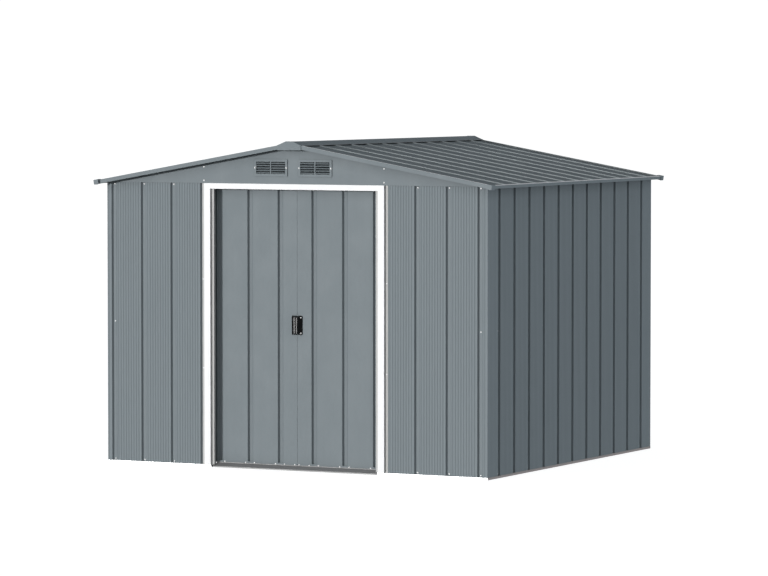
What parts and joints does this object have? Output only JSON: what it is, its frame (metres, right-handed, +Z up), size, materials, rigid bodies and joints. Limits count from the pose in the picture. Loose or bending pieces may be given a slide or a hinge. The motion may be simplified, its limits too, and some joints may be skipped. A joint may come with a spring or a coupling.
{
  "type": "metal tool shed",
  "caption": "Sheet-steel tool shed with grooved walls, a low ribbed gable roof, a white door frame and a pair of sliding doors that part behind the front walls.",
  "frame": {"origin": "on the ground under the middle of the four walls", "axes": "+X to the right seen from the front, +Y from the front to the back, +Z up"},
  "size_m": [2.6092, 2.431, 1.909],
  "materials": {
    "grey_paint": "satin mid-grey coil paint",
    "white_trim": "satin white paint",
    "galvanised": "galvanised, spangled",
    "sill_steel": "matt neutral grey",
    "black_plastic": "moulded, fine grain",
    "glide_plastic": "moulded, smooth"
  },
  "bodies": {
    "shed": {"base_rail_front_left": "white_trim", "base_rail_front_right": "white_trim", "base_rail_back": "white_trim", "base_rail_left": "white_trim", "base_rail_right": "white_trim", "corner_front_left": "grey_paint", "corner_front_right": "grey_paint", "corner_back_left": "grey_paint", "corner_back_right": "grey_paint", "front_wall_left": "grey_paint", "front_wall_right": "grey_paint", "left_wall": "grey_paint", "right_wall": "grey_paint", "back_wall": "grey_paint", "mid_rails": "galvanised", "top_rail_left": "galvanised", "top_rail_right": "galvanised", "top_rail_back": "galvanised", "door_jamb_left": "white_trim", "door_jamb_right": "white_trim", "door_header": "white_trim", "door_sill": "sill_steel", "door_top_track": "galvanised", "door_bottom_track": "galvanised", "front_gable": "grey_paint", "back_gable": "grey_paint", "vent_left": "grey_paint", "vent_right": "grey_paint", "roof_sheet_front_left": "grey_paint", "roof_sheet_front_right": "grey_paint", "roof_sheet_rear_left": "grey_paint", "roof_sheet_rear_right": "grey_paint", "roof_beams": "galvanised", "eave_trim_left": "grey_paint", "eave_trim_right": "grey_paint", "front_barge_trims": "grey_paint", "back_barge_trims": "grey_paint", "roof_corner_caps": "grey_paint", "ridge_cap": "grey_paint", "ridge_end_caps": "grey_paint"},
    "left_door": {"left_door_panel": "grey_paint", "left_door_rails": "grey_paint", "left_door_glides": "glide_plastic", "left_door_handle": "black_plastic", "door_meeting_strip": "grey_paint"},
    "right_door": {"right_door_panel": "grey_paint", "right_door_rails": "grey_paint", "right_door_glides": "glide_plastic", "right_door_handle": "black_plastic"}
  },
  "joints": [
    {"name": "left_door_slide", "type": "slide", "parent": "shed", "child": "left_door", "axis": [-1, 0, 0], "range_m": [0, 0.49]},
    {"name": "right_door_slide", "type": "slide", "parent": "shed", "child": "right_door", "axis": [1, 0, 0], "range_m": [0, 0.49]}
  ]
}
